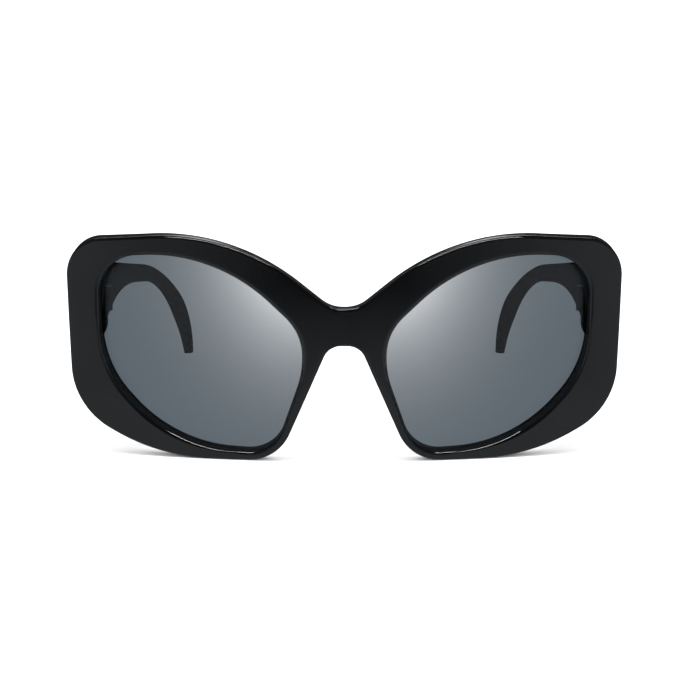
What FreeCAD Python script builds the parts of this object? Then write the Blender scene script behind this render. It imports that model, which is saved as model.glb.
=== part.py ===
"""Oversized sunglasses: a domed front with snapped-in lenses and two hinged temples.

Millimetres and degrees. X runs across the face, towards the wearer's left; Y runs back from the
front along the temples; Z is up. The glasses stand on their lower rims and temple tips at Z = 0.
Every piece is drawn with the front's foremost point at Y = 0 and placed half the depth forward.
"""
import FreeCAD, Part
import math
import os

import Sketcher
from FreeCAD import Placement, Rotation, Vector

SIZES = (
    ("overall_depth", 137.4, "front's foremost point to the back of the hooks"),
    # Front: two domes of different radius make it thicker at the sides than at the bridge
    ("front_radius", 230, "dome of the front face"),
    ("back_radius", 190, "dome of the back face"),
    ("front_thickness", 4.3, "thickness at the bridge"),
    ("dome_height", 31, "height of the domes' centres"),
    ("rim_round", 0.8, "rounding of the outer edges"),
    # Front outline, as corners of straight lines with a rounding each
    ("bridge_x", 3.5, "dip over the bridge"),
    ("bridge_z", 42.6, "height of the bridge"),
    ("bridge_round", 9, "rounding of the dip"),
    ("brow_x", 29.4, "crown of the brow"),
    ("brow_z", 62.9, "height of the brow corner"),
    ("brow_round", 57, "sweep of the brow"),
    ("endpiece_x", 75.6, "upper outer corner"),
    ("endpiece_drop", 4.05, "upper outer corner below the brow corner"),
    ("endpiece_round", 10.3, "rounding of the upper outer corner"),
    ("jowl_inset", 1.35, "lower outer corner inside the upper one"),
    ("jowl_z", 12.45, "height of the lower outer corner"),
    ("jowl_round", 19.6, "rounding of the lower outer corner"),
    ("cheek_x", 50.6, "outer end of the flat bottom"),
    ("cheek_round", 55.5, "sweep of the lower edge"),
    ("nasal_x", 18.1, "inner end of the flat bottom"),
    ("nasal_round", 12.5, "rounding beside the nose"),
    ("arch_x", 4.36, "corner of the nose arch"),
    ("arch_z", 32.8, "height of the nose arch"),
    ("arch_round", 6, "rounding of the nose arch"),
    # Lens opening in the plane of the foremost point: its corners, each from one of the outline's
    ("opening_draft", 5, "slope of the opening's walls, which draw in towards the back"),
    ("opening_round", 0.5, "rounding of the opening's front edge"),
    ("nose_rim", 6.04, "inner side, from the nose arch"),
    ("bridge_rim", 5.95, "upper inner corner, below the bridge"),
    ("inner_round", 12.3, "rounding of that corner"),
    ("brow_shift", 4.7, "brow corner, outside the crown of the brow"),
    ("brow_rim", 5, "brow corner, below the brow"),
    ("opening_brow_round", 44.8, "sweep of the brow"),
    ("side_rim", 8.8, "outer side, from the upper outer corner"),
    ("corner_rim", 3, "upper outer corner, below the front's"),
    ("outer_round", 7.1, "rounding of that corner"),
    ("jowl_rim", 12.6, "lower outer corner, above the front's"),
    ("opening_jowl_round", 26.7, "rounding of that corner"),
    ("cheek_shift", 5.15, "lower edge corner, inside the front's"),
    ("low_rim", 2.85, "lower edge, above the table"),
    ("cheek_rise", 0.55, "outer end of the lower edge, above its inner end"),
    ("opening_cheek_round", 42.5, "sweep of the lower edge"),
    ("nasal_shift", 0.6, "lower inner corner, outside the front's"),
    ("opening_nasal_round", 11.1, "rounding of that corner"),
    ("arch_rim", 8.8, "bend of the inner side, below the nose arch"),
    ("nose_round", 36.3, "sweep of the inner side"),
    # Lenses, concentric with the back of the front
    ("lens_thickness", 2, "thickness of the lens"),
    ("lens_cover", 1.2, "lens in front of the rim's back"),
    ("groove_depth", 0.8, "how far the lens edge enters the rim"),
    ("lens_clearance", 0.05, "gap all round the lens edge"),
    # Lugs: flat lands behind the upper outer corners, which the temples close against
    ("lug_face", 20.2, "land behind the front's foremost point"),
    ("lug_height", 7, "depth of the lug, most of it inside the rim"),
    ("lug_width", 10.7, "inner wall of the lug, from the upper outer corner"),
    ("lug_margin", 1, "land above and below the end of the temple"),
    ("lug_round", 2, "rounding of the lug's inner corners"),
    ("lug_draft", 8, "slope of the lug's walls"),
    # Temples: plan and side view
    ("temple_gap", 0.2, "gap between lug and temple end"),
    ("temple_inset", 8.7, "inner face at the hinge, from the upper outer corner"),
    ("temple_root", 6.6, "thickness at the hinge end"),
    ("temple_thickness", 2.3, "thickness along the curve"),
    ("temple_straight", 35, "where the inward curve starts"),
    ("temple_curve", 321, "radius of the inward curve"),
    ("temple_drop", 6.55, "top of the hinge end, below the upper outer corner"),
    ("temple_height", 22, "height of the hinge end"),
    ("waist_back", 68.1, "corner of the arched underside, before the back of the hook"),
    ("waist_z", 36.9, "height of that corner"),
    ("waist_round", 115, "sweep of the underside"),
    ("bend_back", 29.6, "start of the ear bend, before the back of the hook"),
    ("bend_z", 34.8, "height of that corner"),
    ("bend_round", 55, "rounding of the ear bend"),
    ("drop_z", 13.7, "corner where the hook turns down"),
    ("drop_round", 20, "rounding of that corner"),
    ("inside_back", 23.4, "inner corner of the ear bend, before the back of the hook"),
    ("inside_z", 28.4, "height of that corner"),
    ("inside_round", 46, "rounding of that corner"),
    ("tip_width", 2.5, "flat of the tip on the table"),
    ("temple_round", 0.75, "rounding of the temple's edges"),
    # Hinges: five knuckles on a vertical screw
    ("pivot_inset", 1.65, "hinge axis inside the temple's inner face"),
    ("pivot_back", 2, "hinge axis behind the lug's land"),
    ("barrel_radius", 1.45, "outside of the knuckles"),
    ("knuckle_height", 1.3, "height of one knuckle"),
    ("knuckle_gap", 0.06, "gap between knuckles"),
    ("screw_radius", 0.6, "shank of the hinge screw"),
    ("screw_clearance", 0.02, "gap round the shank in the front's knuckles"),
    ("running_clearance", 0.05, "gap round the shank in the temple's knuckles"),
    ("head_radius", 1, "head of the screw"),
    ("head_height", 0.5, "height of the head"),
    ("slot_width", 0.3, "driver slot in the head"),
    ("slot_depth", 0.25, "depth of the slot"),
    ("plate_length", 5, "hinge plate sunk in the lug"),
    ("plate_height", 9, "height of the plate"),
    ("plate_thickness", 1, "thickness of the plate"),
    ("plate_inset", 0.8, "plate inside the lug's inner wall"),
    ("shank_width", 1.6, "anchor behind the plate"),
    ("shank_depth", 2.2, "how deep the anchor goes"),
    ("neck_width", 1, "neck between plate and knuckle"),
    ("leaf_height", 7.4, "hinge leaf sunk in the temple"),
    ("leaf_thickness", 1.6, "thickness of the leaf"),
    ("leaf_proud", 0.3, "how far the leaf stands out of the temple"),
    ("leaf_setback", 0.8, "front end of the leaf behind the hinge axis"),
    ("arm_length", 2.6, "arm from the knuckle to the leaf"),
    ("arm_width", 0.9, "thickness of the arm"),
    ("sink_clearance", 0.03, "gap round sunk metal"),
    # Core wires inside the temples
    ("wire_radius", 0.6, "core wire"),
    ("wire_short", 10.8, "end of the core wire, before the ear bend"),
    ("wire_drop", 0.5, "end of the core wire, below the corner of the ear bend"),
    # Nose pads behind the inner rims
    ("pad_top_z", 26.5, "top of the pad"),
    ("pad_low_z", 13.5, "lower end of the pad"),
    ("pad_inset", 0.5, "back of the pad inside the nose edge of the rim"),
    ("pad_width", 1.5, "width across the back of the pad"),
    ("pad_round", 0.6, "rounding of the pad's outline"),
    ("pad_edge_round", 0.5, "rounding round the back of the pad"),
    ("pad_back", 11, "back of the pad behind the front's foremost point"),
    ("pad_draft", 4, "slope of the pad's sides"),
    ("bond_gap", 0.02, "bond line behind the rim"),
    ("overshoot", 2, "how far cutting shapes pass the faces that they cut"),
)

FORWARDS = Vector(0, -1, 0)
OUTWARDS = Vector(1, 0, 0)
UPWARDS = Vector(0, 0, 1)
ACROSS = Rotation(OUTWARDS, 90)
SIDEWAYS = Rotation(OUTWARDS + UPWARDS - FORWARDS, 120)
KNUCKLES = 5
TOUCH = 0.001


def make_sheet(doc):
    """Fills the spreadsheet with the driving sizes and returns it."""
    sheet = doc.addObject("Spreadsheet::Sheet", "Sizes")
    for row, (name, value, meaning) in enumerate(SIZES, start=1):
        sheet.set(f"A{row}", meaning)
        sheet.set(f"B{row}", str(value))
        sheet.setAlias(f"B{row}", name)
    doc.recompute()
    return sheet


def bind(item, **sizes):
    """Ties properties of an object to expressions on the sheet; two underscores stand for a dot."""
    for name, expression in sizes.items():
        item.setExpression(name.replace("__", "."), expression)
    return item


def pin_down(sketch, geometry, end, along, expression):
    """Holds one coordinate of a point at the value of an expression."""
    value = sketch.evalExpression(expression)
    axis = -1 if along == "DistanceY" else -2
    if abs(value) < TOUCH:
        sketch.addConstraint(Sketcher.Constraint("PointOnObject", geometry, end, axis))
        return
    if value > 0:
        row = sketch.addConstraint(Sketcher.Constraint(along, -1, 1, geometry, end, value))
        sketch.setExpression(f"Constraints[{row}]", expression)
    else:
        row = sketch.addConstraint(Sketcher.Constraint(along, geometry, end, -1, 1, -value))
        sketch.setExpression(f"Constraints[{row}]", f"-({expression})")


def rounded_corner(before, corner, after, radius):
    """Returns the arc that rounds a corner and whether it turns left along the outline."""
    into = (before - corner).normalize()
    out = (after - corner).normalize()
    half = into.getAngle(out) / 2
    centre = corner + (into + out).normalize() * (radius / math.sin(half))
    start = corner + into * (radius / math.tan(half)) - centre
    stop = corner + out * (radius / math.tan(half)) - centre
    left = into.cross(out).z < 0
    first, last = (start, stop) if left else (stop, start)
    circle = Part.Circle(centre, UPWARDS, radius)
    angles = math.atan2(first.y, first.x), math.atan2(last.y, last.x)
    return Part.ArcOfCircle(circle, *angles), left


def draw_outline(sketch, corners):
    """Draws a closed outline of lines whose corners are (u, v, rounding), each an expression."""
    count = len(corners)
    places = [Vector(sketch.evalExpression(u), sketch.evalExpression(v), 0) for u, v, _ in corners]
    arcs = []
    for i, (_, _, rounding) in enumerate(corners):
        if rounding is None:
            arcs.append(None)
            continue
        radius = sketch.evalExpression(rounding)
        arcs.append(rounded_corner(places[i - 1], places[i], places[(i + 1) % count], radius))
    lines = []
    for i in range(count):
        j = (i + 1) % count
        start = places[i]
        if arcs[i]:
            start = arcs[i][0].EndPoint if arcs[i][1] else arcs[i][0].StartPoint
        stop = places[j]
        if arcs[j]:
            stop = arcs[j][0].StartPoint if arcs[j][1] else arcs[j][0].EndPoint
        lines.append(sketch.addGeometry(Part.LineSegment(start, stop)))
    for i, (u, v, rounding) in enumerate(corners):
        come, leave = lines[i - 1], lines[i]
        if arcs[i] is None:
            sketch.addConstraint(Sketcher.Constraint("Coincident", come, 2, leave, 1))
            pin_down(sketch, leave, 1, "DistanceX", u)
            pin_down(sketch, leave, 1, "DistanceY", v)
            continue
        mark = sketch.addGeometry(Part.Point(places[i]), True)
        pin_down(sketch, mark, 1, "DistanceX", u)
        pin_down(sketch, mark, 1, "DistanceY", v)
        sketch.addConstraint(Sketcher.Constraint("PointOnObject", mark, 1, come))
        sketch.addConstraint(Sketcher.Constraint("PointOnObject", mark, 1, leave))
        arc, left = arcs[i]
        bend = sketch.addGeometry(arc)
        ends = (1, 2) if left else (2, 1)
        sketch.addConstraint(Sketcher.Constraint("Tangent", come, 2, bend, ends[0]))
        sketch.addConstraint(Sketcher.Constraint("Tangent", bend, ends[1], leave, 1))
        row = sketch.addConstraint(Sketcher.Constraint("Radius", bend, arc.Radius))
        sketch.setExpression(f"Constraints[{row}]", rounding)


def face_sketch(doc, name, corners, depth="0"):
    """Sketches an outline seen from the front, at a depth behind the foremost point."""
    sketch = doc.addObject("Sketcher::SketchObject", name)
    sketch.Placement = Placement(Vector(), ACROSS)
    bind(sketch, Placement__Base__y=depth)
    draw_outline(sketch, corners)
    doc.recompute()
    return sketch


def prism(doc, name, base, ahead, behind, draft=None, along=FORWARDS):
    """Extrudes an outline both ways along a direction, wider ahead where it has a draft."""
    solid = doc.addObject("Part::Extrusion", name)
    solid.Base = base
    solid.DirMode = "Custom"
    solid.Dir = along
    solid.Solid = True
    bind(solid, LengthFwd=ahead, LengthRev=behind)
    if draft:
        bind(solid, TaperAngle=draft, TaperAngleRev=f"-({draft})")
    return solid


def ball(doc, name, radius, apex):
    """Adds a ball whose foremost point lies at a depth behind the front's."""
    solid = doc.addObject("Part::Sphere", name)
    bind(solid, Radius=radius, Placement__Base__y=f"{apex} + {radius}")
    return bind(solid, Placement__Base__z="Sizes.dome_height")


def boolean(doc, kind, name, base, tool):
    """Adds a Part Cut, Common or Fuse of two objects."""
    result = doc.addObject(f"Part::{kind}", name)
    result.Base = base
    result.Tool = tool
    return result


def mirror(doc, name, source):
    """Mirrors an object to the other side of the face."""
    copy = doc.addObject("Part::Mirroring", name)
    copy.Source = source
    copy.Normal = OUTWARDS
    return copy


def block(doc, name, low, high):
    """Adds a box between two corners given as expressions."""
    solid = doc.addObject("Part::Box", name)
    for axis, side, start, stop in zip("xyz", ("Length", "Width", "Height"), low, high):
        solid.setExpression(f"Placement.Base.{axis}", start)
        solid.setExpression(side, f"({stop}) - ({start})")
    return solid


def rod(doc, name, radius, low, high):
    """Adds an upright cylinder on the hinge axis."""
    solid = doc.addObject("Part::Cylinder", name)
    bind(solid, Radius=radius, Placement__Base__x=PIVOT_X, Placement__Base__y=PIVOT_Y)
    return bind(solid, Placement__Base__z=low, Height=f"({high}) - ({low})")


def fuse(doc, name, pieces):
    """Joins several objects into one solid."""
    joined = doc.addObject("Part::MultiFuse", name)
    joined.Shapes = pieces
    joined.Refine = True
    return joined


def round_edges(doc, name, base, radius, chosen):
    """Rounds the edges of an object whose middle point passes a test."""
    body = doc.addObject("PartDesign::Body", name)
    body.BaseFeature = base
    doc.recompute()
    start = body.Group[0]
    edges = []
    for number, edge in enumerate(start.Shape.Edges, start=1):
        if chosen(edge):
            edges.append(f"Edge{number}")
    fillet = body.newObject("PartDesign::Fillet", f"{name}Round")
    fillet.Base = (start, edges)
    bind(fillet, Radius=radius)
    doc.recompute()
    return body


def middle(edge):
    """Returns the point half way along an edge."""
    return edge.valueAt((edge.FirstParameter + edge.LastParameter) / 2)


def on_ball(edge, sphere):
    """Tells whether an edge lies on a ball."""
    points = [middle(edge)] + [vertex.Point for vertex in edge.Vertexes]
    centre = sphere.Placement.Base
    return all(abs(p.distanceToPoint(centre) - float(sphere.Radius)) < TOUCH for p in points)


def on_skin(edge, skin):
    """Tells whether the middle of an edge lies on a surface."""
    return skin.distToShape(Part.Vertex(middle(edge)))[0] < TOUCH


def both_sides(corners):
    """Completes an outline of the wearer's left half with its mirror image."""
    other = [(f"-({u})", v, rounding) for u, v, rounding in reversed(corners)]
    return list(corners) + other


ENDPIECE_Z = "(Sizes.brow_z - Sizes.endpiece_drop)"
FRONT_HALF = (
    ("Sizes.bridge_x", "Sizes.bridge_z", "Sizes.bridge_round"),
    ("Sizes.brow_x", "Sizes.brow_z", "Sizes.brow_round"),
    ("Sizes.endpiece_x", ENDPIECE_Z, "Sizes.endpiece_round"),
    ("Sizes.endpiece_x - Sizes.jowl_inset", "Sizes.jowl_z", "Sizes.jowl_round"),
    ("Sizes.cheek_x", "0", "Sizes.cheek_round"),
    ("Sizes.nasal_x", "0", "Sizes.nasal_round"),
    ("Sizes.arch_x", "Sizes.arch_z", "Sizes.arch_round"),
)
NOSE_SIDE = "Sizes.arch_x + Sizes.nose_rim"
OUTER_SIDE = "Sizes.endpiece_x - Sizes.side_rim"
OPENING = (
    (NOSE_SIDE, "Sizes.bridge_z - Sizes.bridge_rim", "Sizes.inner_round"),
    ("Sizes.brow_x + Sizes.brow_shift", "Sizes.brow_z - Sizes.brow_rim", "Sizes.opening_brow_round"),
    (OUTER_SIDE, f"{ENDPIECE_Z} - Sizes.corner_rim", "Sizes.outer_round"),
    (OUTER_SIDE, "Sizes.jowl_z + Sizes.jowl_rim", "Sizes.opening_jowl_round"),
    ("Sizes.cheek_x - Sizes.cheek_shift", "Sizes.low_rim + Sizes.cheek_rise", "Sizes.opening_cheek_round"),
    ("Sizes.nasal_x + Sizes.nasal_shift", "Sizes.low_rim", "Sizes.opening_nasal_round"),
    (NOSE_SIDE, "Sizes.arch_z - Sizes.arch_rim", "Sizes.nose_round"),
)
THROUGH = "Sizes.lug_face + Sizes.overshoot"
LUG_X = "(Sizes.endpiece_x - Sizes.lug_width)"
TEMPLE_X = "(Sizes.endpiece_x - Sizes.temple_inset)"
TEMPLE_TOP = f"({ENDPIECE_Z} - Sizes.temple_drop)"
TEMPLE_LOW = f"({TEMPLE_TOP} - Sizes.temple_height)"
TEMPLE_END = "Sizes.lug_face + Sizes.temple_gap"
PIVOT_X = f"({TEMPLE_X} - Sizes.pivot_inset)"
PIVOT_Y = "(Sizes.lug_face + Sizes.pivot_back)"
HINGE_Z = f"(({TEMPLE_TOP} + {TEMPLE_LOW}) / 2)"
PITCH = "(Sizes.knuckle_height + Sizes.knuckle_gap)"
HINGE_HEIGHT = f"({KNUCKLES} * {PITCH} - Sizes.knuckle_gap)"
HINGE_LOW = f"({HINGE_Z} - {HINGE_HEIGHT} / 2)"
HINGE_TOP = f"({HINGE_Z} + {HINGE_HEIGHT} / 2)"


def lens_sheet(doc, name, extra):
    """Makes the domed sheet that the lens is cut from, thicker on both faces by a clearance."""
    faces = []
    for side, cover in (("Front", f"Sizes.lens_thickness + {extra}"), ("Back", f"-({extra})")):
        step = f"(Sizes.lens_cover + {cover})"
        radius = f"(Sizes.back_radius + {step})"
        faces.append(ball(doc, f"{name}{side}", radius, f"Sizes.front_thickness - {step}"))
    return boolean(doc, "Cut", f"{name}Sheet", *faces)


def lens_blank(doc, name, opening, entry, extra):
    """Cuts a domed sheet to the opening's outline, grown by how far its edge enters the rim."""
    grown = doc.addObject("Part::Offset2D", f"{name}Edge")
    grown.Source = opening
    bind(grown, Value=entry)
    doc.recompute()
    column = prism(doc, f"{name}Column", grown, "Sizes.overshoot", THROUGH, "Sizes.opening_draft")
    return boolean(doc, "Common", name, lens_sheet(doc, name, extra), column)


def make_lug(doc, outline_column):
    """Makes the left lug, flush with the front's outline, and the clear space behind its land."""
    top = f"{TEMPLE_TOP} + Sizes.lug_margin"
    low = f"{TEMPLE_LOW} - Sizes.lug_margin"
    outside = "Sizes.endpiece_x + Sizes.overshoot"
    corners = (
        (LUG_X, top, "Sizes.lug_round"),
        (outside, top, None),
        (outside, low, None),
        (LUG_X, low, "Sizes.lug_round"),
    )
    land = face_sketch(doc, "LugLand", corners, "Sizes.lug_face")
    column = prism(doc, "LugColumn", land, "Sizes.lug_height", "0", "Sizes.lug_draft")
    clear = prism(doc, "LugClear", land, "0", "Sizes.lug_height")
    return boolean(doc, "Common", "Lug", column, outline_column), clear


def hinge_plate(doc, name, gap):
    """Makes the plate and anchor that are sunk in the lug, grown by a gap."""
    start = f"{LUG_X} + Sizes.plate_inset"
    back = "Sizes.lug_face"
    front = "Sizes.lug_face - Sizes.plate_thickness"
    half = "Sizes.plate_height / 2"
    plate = block(
        doc,
        f"{name}Plate",
        (f"{start} - {gap}", f"{front} - {gap}", f"{HINGE_Z} - {half} - {gap}"),
        (f"{start} + Sizes.plate_length + {gap}", back, f"{HINGE_Z} + {half} + {gap}"),
    )
    centre = f"{start} + Sizes.plate_length / 2"
    side = f"Sizes.shank_width / 2 + {gap}"
    tall = f"Sizes.plate_height / 4 + {gap}"
    shank = block(
        doc,
        f"{name}Shank",
        (f"{centre} - ({side})", f"{front} - Sizes.shank_depth - {gap}", f"{HINGE_Z} - ({tall})"),
        (f"{centre} + {side}", front, f"{HINGE_Z} + {tall}"),
    )
    return [plate, shank]


def make_front(doc, opening):
    """Makes the front: a domed blank with lugs, lens openings, lens grooves and hinge seats."""
    outline = face_sketch(doc, "FrontOutline", both_sides(FRONT_HALF))
    column = prism(doc, "FrontColumn", outline, "Sizes.overshoot", THROUGH)
    face = ball(doc, "FrontDome", "Sizes.front_radius", "0")
    hollow = ball(doc, "BackDome", "Sizes.back_radius", "Sizes.front_thickness")
    blank = boolean(doc, "Cut", "FrontBlank", boolean(doc, "Common", "FrontSlab", column, face), hollow)
    rounded = round_edges(
        doc,
        "FrontRounded",
        blank,
        "Sizes.rim_round",
        lambda edge: on_ball(edge, face) or on_ball(edge, hollow),
    )
    lug, clear = make_lug(doc, column)
    front = boolean(doc, "Cut", "FrontClearLeft", rounded, clear)
    front = boolean(doc, "Cut", "FrontClear", front, mirror(doc, "LugClearRight", clear))
    front = fuse(doc, "FrontWithLugs", [front, lug, mirror(doc, "LugRight", lug)])
    hole = prism(doc, "OpeningColumn", opening, "Sizes.overshoot", THROUGH, "Sizes.opening_draft")
    far_hole = mirror(doc, "OpeningColumnRight", hole)
    front = boolean(doc, "Cut", "FrontOpenLeft", front, hole)
    front = boolean(doc, "Cut", "FrontOpen", front, far_hole)
    doc.recompute()
    skins = [Part.Compound(column.Shape.Faces) for column in (hole, far_hole)]
    front = round_edges(
        doc,
        "FrontSoftened",
        front,
        "Sizes.opening_round",
        lambda edge: on_ball(edge, face) and any(on_skin(edge, skin) for skin in skins),
    )
    groove = lens_blank(doc, "LensGroove", opening, "Sizes.groove_depth", "Sizes.lens_clearance")
    seat = fuse(doc, "HingeSeat", hinge_plate(doc, "HingeSeat", "Sizes.sink_clearance"))
    for tool in (groove, seat):
        for side in (tool, mirror(doc, f"{tool.Name}Right", tool)):
            front = boolean(doc, "Cut", f"FrontLess{side.Name}", front, side)
    return front


def make_lens(doc, opening):
    """Makes the left lens, a clearance smaller than its groove."""
    return lens_blank(doc, "Lens", opening, "Sizes.groove_depth - Sizes.lens_clearance", "0")


def make_nose_pad(doc):
    """Makes the left nose pad, which follows the nose edge of the rim and seats on its back."""

    def nose_edge(height):
        slope = "(Sizes.arch_x - Sizes.nasal_x) / Sizes.arch_z"
        return f"Sizes.nasal_x + {slope} * {height} + Sizes.pad_inset"

    top = nose_edge("Sizes.pad_top_z")
    low = nose_edge("Sizes.pad_low_z")
    corners = (
        (top, "Sizes.pad_top_z", "Sizes.pad_round"),
        (f"{top} + Sizes.pad_width", "Sizes.pad_top_z", "Sizes.pad_round"),
        (f"{low} + Sizes.pad_width", "Sizes.pad_low_z", "Sizes.pad_round"),
        (low, "Sizes.pad_low_z", "Sizes.pad_round"),
    )
    back = face_sketch(doc, "PadBack", corners, "Sizes.pad_back")
    column = prism(doc, "PadColumn", back, "Sizes.pad_back", "0", "Sizes.pad_draft")
    apex = "(Sizes.front_thickness + Sizes.bond_gap)"
    seat = ball(doc, "PadSeat", "(Sizes.back_radius - Sizes.bond_gap)", apex)
    pad = boolean(doc, "Common", "PadBlank", column, seat)
    doc.recompute()
    return round_edges(doc, "Pad", pad, "Sizes.pad_edge_round", lambda edge: on_skin(edge, back.Shape))


def knuckles(doc, name, first, low, high):
    """Makes every other knuckle from the first, each with a block that ties it to its plate."""
    pieces = []
    for number in range(first, KNUCKLES, 2):
        floor = f"{HINGE_LOW} + {number} * {PITCH}"
        roof = f"{floor} + Sizes.knuckle_height"
        pieces.append(rod(doc, f"{name}Knuckle{number}", "Sizes.barrel_radius", floor, roof))
        pieces.append(block(doc, f"{name}Tie{number}", (*low, floor), (*high, roof)))
    return pieces


def make_front_hinge(doc):
    """Makes the left front hinge: a sunk plate with an anchor and three knuckles."""
    outside = f"{PIVOT_X} + Sizes.barrel_radius"
    low = (f"{outside} - Sizes.neck_width", "Sizes.lug_face - Sizes.plate_thickness / 2")
    pieces = hinge_plate(doc, "FrontHinge", "0") + knuckles(doc, "FrontHinge", 0, low, (outside, PIVOT_Y))
    body = fuse(doc, "FrontHingeBlank", pieces)
    hole = rod(doc, "ScrewHole", "Sizes.screw_radius + Sizes.screw_clearance", HINGE_LOW, HINGE_TOP)
    head = rod(
        doc,
        "HeadSeat",
        "Sizes.head_radius + Sizes.screw_clearance",
        f"{HINGE_TOP} - Sizes.head_height - Sizes.screw_clearance",
        HINGE_TOP,
    )
    return boolean(doc, "Cut", "FrontHinge", body, fuse(doc, "ScrewSeat", [hole, head]))


def hinge_leaf(doc, name, gap):
    """Makes the leaf that is sunk in the temple, grown by a gap."""
    inside = f"{TEMPLE_X} - Sizes.leaf_proud"
    half = f"Sizes.leaf_height / 2 + {gap}"
    low = (inside, f"{PIVOT_Y} + Sizes.leaf_setback - {gap}", f"{HINGE_Z} - ({half})")
    end = f"Sizes.temple_straight - Sizes.wire_radius + {gap}"
    high = (f"{inside} + Sizes.leaf_thickness + {gap}", end, f"{HINGE_Z} + {half}")
    return block(doc, name, low, high)


def make_temple_hinge(doc):
    """Makes the left temple hinge: a sunk leaf with two knuckles between the front's three."""
    inside = f"{TEMPLE_X} - Sizes.sink_clearance"
    low = (f"{inside} - Sizes.arm_width", PIVOT_Y)
    high = (inside, f"{PIVOT_Y} + Sizes.arm_length")
    pieces = [hinge_leaf(doc, "HingeLeaf", "0")] + knuckles(doc, "TempleHinge", 1, low, high)
    body = fuse(doc, "TempleHingeBlank", pieces)
    hole = rod(doc, "RunningHole", "Sizes.screw_radius + Sizes.running_clearance", HINGE_LOW, HINGE_TOP)
    return boolean(doc, "Cut", "TempleHinge", body, hole)


def make_screw(doc):
    """Makes the left hinge screw, dropped in from above, with a slotted head."""
    neck = f"{HINGE_TOP} - Sizes.head_height"
    shank = rod(doc, "ScrewShank", "Sizes.screw_radius", HINGE_LOW, f"{neck} + Sizes.slot_depth / 2")
    head = rod(doc, "ScrewHead", "Sizes.head_radius", neck, HINGE_TOP)
    reach = "Sizes.head_radius + Sizes.overshoot"
    slot = block(
        doc,
        "ScrewSlot",
        (f"{PIVOT_X} - ({reach})", f"{PIVOT_Y} - Sizes.slot_width / 2", f"{HINGE_TOP} - Sizes.slot_depth"),
        (f"{PIVOT_X} + {reach}", f"{PIVOT_Y} + Sizes.slot_width / 2", f"{HINGE_TOP} + Sizes.overshoot"),
    )
    return boolean(doc, "Cut", "Screw", fuse(doc, "ScrewBlank", [shank, head]), slot)


def core_wire(doc, name, radius):
    """Makes a wire that bends inwards with the temple and falls from the leaf to the ear bend."""
    wire = doc.addObject("Part::Torus", name)
    wire.Placement = Placement(Vector(), Rotation(-OUTWARDS, 1))
    bend = "(Sizes.temple_curve + Sizes.temple_thickness / 2)"
    ear = "Sizes.overall_depth - Sizes.bend_back"
    run = f"({ear} - Sizes.wire_short - Sizes.temple_straight)"
    fall = f"({HINGE_Z} - Sizes.bend_z + Sizes.wire_drop)"
    bind(wire, Radius1=bend, Radius2=radius, Angle3=f"asin({run} / {bend})")
    bind(wire, Placement__Base__x=f"{TEMPLE_X} - Sizes.temple_curve")
    bind(wire, Placement__Base__y="Sizes.temple_straight", Placement__Base__z=HINGE_Z)
    return bind(wire, Placement__Rotation__Angle=f"atan({fall} / {run})")


def draw_plan(sketch):
    """Draws the temple from above: a straight hinge end that tapers into an inward curve."""
    get = sketch.evalExpression
    inner = get(TEMPLE_X)
    outer = inner + get("Sizes.temple_root")
    end = get(TEMPLE_END)
    straight = get("Sizes.temple_straight")
    bend = get("Sizes.temple_curve")
    wide = bend + get("Sizes.temple_thickness")
    back = get("Sizes.overall_depth + Sizes.overshoot")
    centre = Vector(inner - bend, straight, 0)
    corner = Vector(outer, end, 0)
    reach = corner - centre
    touch = math.atan2(reach.y, reach.x) + math.acos(wide / reach.Length)
    rise = back - straight
    curve_in = Part.ArcOfCircle(Part.Circle(centre, UPWARDS, bend), 0, math.asin(rise / bend))
    curve_out = Part.ArcOfCircle(Part.Circle(centre, UPWARDS, wide), touch, math.asin(rise / wide))
    root = sketch.addGeometry(Part.LineSegment(Vector(inner, end, 0), corner))
    taper = sketch.addGeometry(Part.LineSegment(corner, curve_out.StartPoint))
    outside = sketch.addGeometry(curve_out)
    tail = sketch.addGeometry(Part.LineSegment(curve_out.EndPoint, curve_in.EndPoint))
    inside = sketch.addGeometry(curve_in)
    flat = sketch.addGeometry(Part.LineSegment(curve_in.StartPoint, Vector(inner, end, 0)))
    for rule in (
        ("Coincident", root, 2, taper, 1),
        ("Tangent", taper, 2, outside, 1),
        ("Coincident", outside, 2, tail, 1),
        ("Coincident", tail, 2, inside, 2),
        ("Tangent", inside, 1, flat, 1),
        ("Coincident", flat, 2, root, 1),
        ("Coincident", inside, 3, outside, 3),
        ("Horizontal", root),
        ("Horizontal", tail),
        ("Vertical", flat),
    ):
        sketch.addConstraint(Sketcher.Constraint(*rule))
    pin_down(sketch, root, 1, "DistanceX", TEMPLE_X)
    pin_down(sketch, root, 1, "DistanceY", TEMPLE_END)
    pin_down(sketch, root, 2, "DistanceX", f"{TEMPLE_X} + Sizes.temple_root")
    pin_down(sketch, inside, 3, "DistanceY", "Sizes.temple_straight")
    pin_down(sketch, tail, 1, "DistanceY", "Sizes.overall_depth + Sizes.overshoot")
    for arc, radius, expression in (
        (inside, bend, "Sizes.temple_curve"),
        (outside, wide, "Sizes.temple_curve + Sizes.temple_thickness"),
    ):
        row = sketch.addConstraint(Sketcher.Constraint("Radius", arc, radius))
        sketch.setExpression(f"Constraints[{row}]", expression)


TEMPLE_SIDE = (
    (TEMPLE_END, TEMPLE_TOP, None),
    ("Sizes.overall_depth - Sizes.bend_back", "Sizes.bend_z", "Sizes.bend_round"),
    ("Sizes.overall_depth", "Sizes.drop_z", "Sizes.drop_round"),
    ("Sizes.overall_depth", "0", None),
    ("Sizes.overall_depth - Sizes.tip_width", "0", None),
    ("Sizes.overall_depth - Sizes.inside_back", "Sizes.inside_z", "Sizes.inside_round"),
    ("Sizes.overall_depth - Sizes.waist_back", "Sizes.waist_z", "Sizes.waist_round"),
    (TEMPLE_END, TEMPLE_LOW, None),
)


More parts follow.
